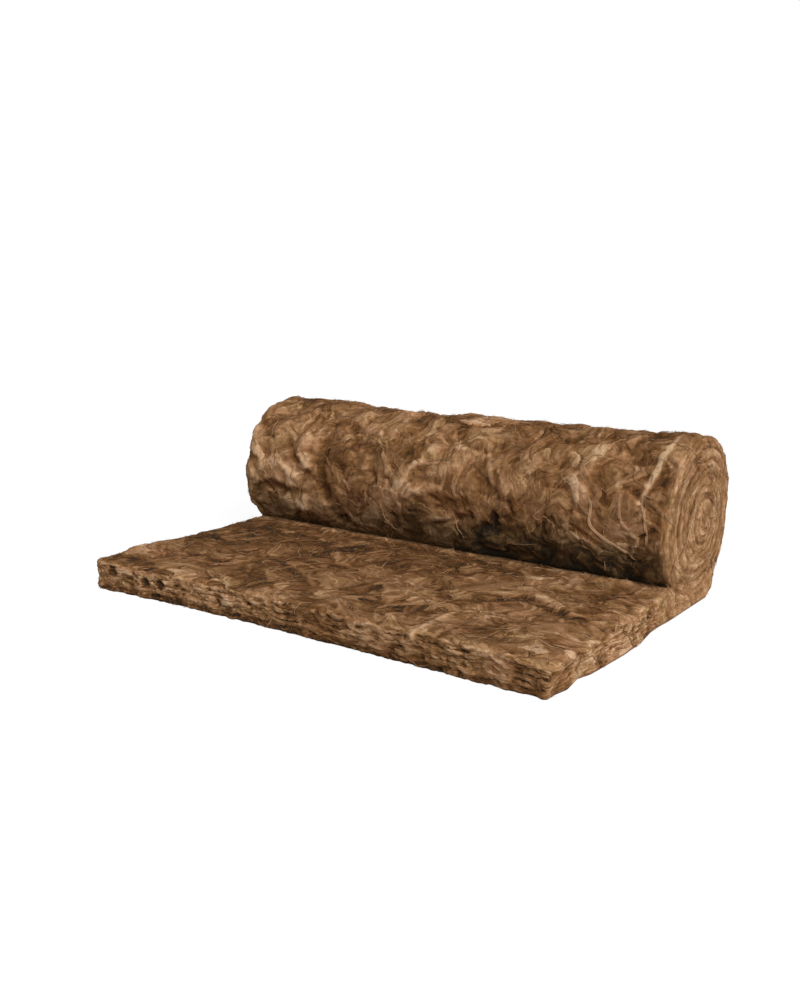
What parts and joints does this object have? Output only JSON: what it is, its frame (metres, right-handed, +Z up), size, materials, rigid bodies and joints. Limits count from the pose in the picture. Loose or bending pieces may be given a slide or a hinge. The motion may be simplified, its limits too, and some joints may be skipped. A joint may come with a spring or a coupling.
{
  "type": "insulation roll",
  "caption": "Mat of brown mineral wool insulation, rolled up along its width, with its free run laid out flat in front of the roll.",
  "frame": {"origin": "on the floor, in the middle of the whole footprint", "axes": "+X along the width of the mat, which is the axis of the roll; +Y from the cut edge of the free run to the roll; +Z up"},
  "size_m": [1.2, 0.8868, 0.3966],
  "materials": {
    "wool": "matted brown mineral wool, dull, with paler tufts and loose fibres over dark hollows"
  },
  "bodies": {
    "root": {"wool_mat": "wool"}
  },
  "joints": []
}
